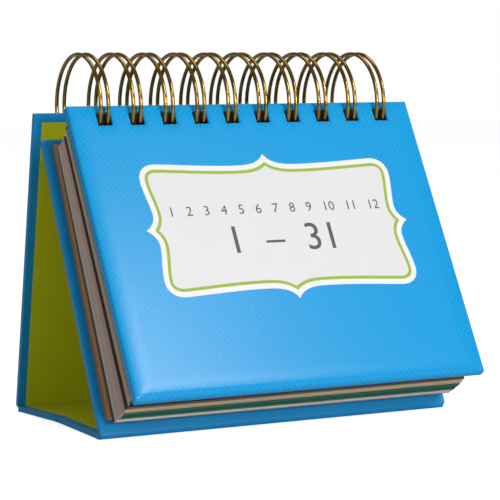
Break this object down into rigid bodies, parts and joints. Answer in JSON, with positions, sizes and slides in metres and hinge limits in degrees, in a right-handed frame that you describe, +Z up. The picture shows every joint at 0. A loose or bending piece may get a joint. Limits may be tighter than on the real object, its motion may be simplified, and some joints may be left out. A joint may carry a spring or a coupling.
{
  "type": "perpetual flip calendar",
  "caption": "Desk flip calendar: a folding easel of paper-wrapped boards whose top carries a padded cover and a block of leaves on twin loop wire.",
  "frame": {"origin": "on the table, in the middle of the flat strip that the stand's front edge rests on, at the stand's mid width", "axes": "+X to the right along the loops, +Y from the front to the rear foot, +Z up"},
  "size_m": [0.1437, 0.0943, 0.1312],
  "materials": {
    "greyboard": "plain grey pulp board",
    "stand_wrap": "blue printed paper, satin laminate",
    "cover_wrap": "blue printed paper with a fine lattice, satin laminate",
    "lining": "lime green paper, matt",
    "foam": "soft white foam sheet",
    "wire": "antique bronze plated steel wire",
    "leaves": "white and tinted leaves, uncoated edges"
  },
  "bodies": {
    "front_panel": {"front_panel_board": "greyboard", "front_panel_wrap": "stand_wrap", "front_panel_liner": "lining", "front_crease": "stand_wrap", "wire_loop_1": "wire", "wire_loop_2": "wire", "wire_loop_3": "wire", "wire_loop_4": "wire", "wire_loop_5": "wire", "wire_loop_6": "wire", "wire_loop_7": "wire", "wire_loop_8": "wire", "wire_loop_9": "wire", "wire_loop_10": "wire"},
    "base_front": {"base_front_board": "greyboard", "base_front_wrap": "stand_wrap", "base_front_liner": "lining", "middle_crease": "stand_wrap"},
    "base_rear": {"base_rear_board": "greyboard", "base_rear_wrap": "stand_wrap", "base_rear_liner": "lining"},
    "back_panel": {"back_panel_board": "greyboard", "back_panel_wrap": "stand_wrap", "back_panel_liner": "lining", "rear_crease": "stand_wrap"},
    "cover": {"cover_board": "greyboard", "cover_foam": "foam", "cover_wrap": "cover_wrap", "cover_liner": "lining"},
    "january": {"pages_january": "leaves"},
    "february": {"pages_february": "leaves"},
    "march": {"pages_march": "leaves"},
    "april": {"pages_april": "leaves"},
    "may": {"pages_may": "leaves"},
    "june": {"pages_june": "leaves"},
    "july": {"pages_july": "leaves"},
    "august": {"pages_august": "leaves"},
    "september": {"pages_september": "leaves"},
    "october": {"pages_october": "leaves"},
    "november": {"pages_november": "leaves"},
    "december": {"pages_december": "leaves"}
  },
  "joints": [
    {"name": "base_fold", "type": "hinge", "parent": "base_front", "child": "base_rear", "pos_m": [0, 0.03498, 0.0011], "axis": [-1, 0, 0], "range_deg": [0, 108]},
    {"name": "front_crease_fold", "type": "hinge", "parent": "front_panel", "child": "base_front", "pos_m": [0, 0.00165, 0.0022], "axis": [1, 0, 0], "range_deg": [0, 49.8]},
    {"name": "rear_crease_fold", "type": "hinge", "parent": "base_rear", "child": "back_panel", "pos_m": [0, 0.0692, 0.00217], "axis": [1, 0, 0], "range_deg": [0, 44.4]},
    {"name": "cover_turn", "type": "hinge", "parent": "front_panel", "child": "cover", "pos_m": [0, 0.04612, 0.11197], "axis": [-1, 0, 0], "range_deg": [0, 200]},
    {"name": "january_turn", "type": "hinge", "parent": "front_panel", "child": "january", "pos_m": [0, 0.04612, 0.11197], "axis": [-1, 0, 0], "range_deg": [0, 186.8]},
    {"name": "february_turn", "type": "hinge", "parent": "front_panel", "child": "february", "pos_m": [0, 0.04612, 0.11197], "axis": [-1, 0, 0], "range_deg": [0, 173.5]},
    {"name": "march_turn", "type": "hinge", "parent": "front_panel", "child": "march", "pos_m": [0, 0.04612, 0.11197], "axis": [-1, 0, 0], "range_deg": [0, 160.2]},
    {"name": "april_turn", "type": "hinge", "parent": "front_panel", "child": "april", "pos_m": [0, 0.04612, 0.11197], "axis": [-1, 0, 0], "range_deg": [0, 146.9]},
    {"name": "may_turn", "type": "hinge", "parent": "front_panel", "child": "may", "pos_m": [0, 0.04612, 0.11197], "axis": [-1, 0, 0], "range_deg": [0, 133.6]},
    {"name": "june_turn", "type": "hinge", "parent": "front_panel", "child": "june", "pos_m": [0, 0.04612, 0.11197], "axis": [-1, 0, 0], "range_deg": [0, 120.3]},
    {"name": "july_turn", "type": "hinge", "parent": "front_panel", "child": "july", "pos_m": [0, 0.04612, 0.11197], "axis": [-1, 0, 0], "range_deg": [0, 107]},
    {"name": "august_turn", "type": "hinge", "parent": "front_panel", "child": "august", "pos_m": [0, 0.04612, 0.11197], "axis": [-1, 0, 0], "range_deg": [0, 93.7]},
    {"name": "september_turn", "type": "hinge", "parent": "front_panel", "child": "september", "pos_m": [0, 0.04612, 0.11197], "axis": [-1, 0, 0], "range_deg": [0, 80.4]},
    {"name": "october_turn", "type": "hinge", "parent": "front_panel", "child": "october", "pos_m": [0, 0.04612, 0.11197], "axis": [-1, 0, 0], "range_deg": [0, 67.1]},
    {"name": "november_turn", "type": "hinge", "parent": "front_panel", "child": "november", "pos_m": [0, 0.04612, 0.11197], "axis": [-1, 0, 0], "range_deg": [0, 53.8]},
    {"name": "december_turn", "type": "hinge", "parent": "front_panel", "child": "december", "pos_m": [0, 0.04612, 0.11197], "axis": [-1, 0, 0], "range_deg": [0, 40.5]}
  ],
  "couplings": [
    {"joint": "front_crease_fold", "follows": "base_fold", "ratio": 0.46},
    {"joint": "rear_crease_fold", "follows": "base_fold", "ratio": 0.41},
    {"joint": "january_turn", "follows": "cover_turn", "ratio": 0.9335},
    {"joint": "february_turn", "follows": "cover_turn", "ratio": 0.867},
    {"joint": "march_turn", "follows": "cover_turn", "ratio": 0.8005},
    {"joint": "april_turn", "follows": "cover_turn", "ratio": 0.734},
    {"joint": "may_turn", "follows": "cover_turn", "ratio": 0.6675},
    {"joint": "june_turn", "follows": "cover_turn", "ratio": 0.601},
    {"joint": "july_turn", "follows": "cover_turn", "ratio": 0.5345},
    {"joint": "august_turn", "follows": "cover_turn", "ratio": 0.468},
    {"joint": "september_turn", "follows": "cover_turn", "ratio": 0.4015},
    {"joint": "october_turn", "follows": "cover_turn", "ratio": 0.335},
    {"joint": "november_turn", "follows": "cover_turn", "ratio": 0.2685},
    {"joint": "december_turn", "follows": "cover_turn", "ratio": 0.202}
  ]
}
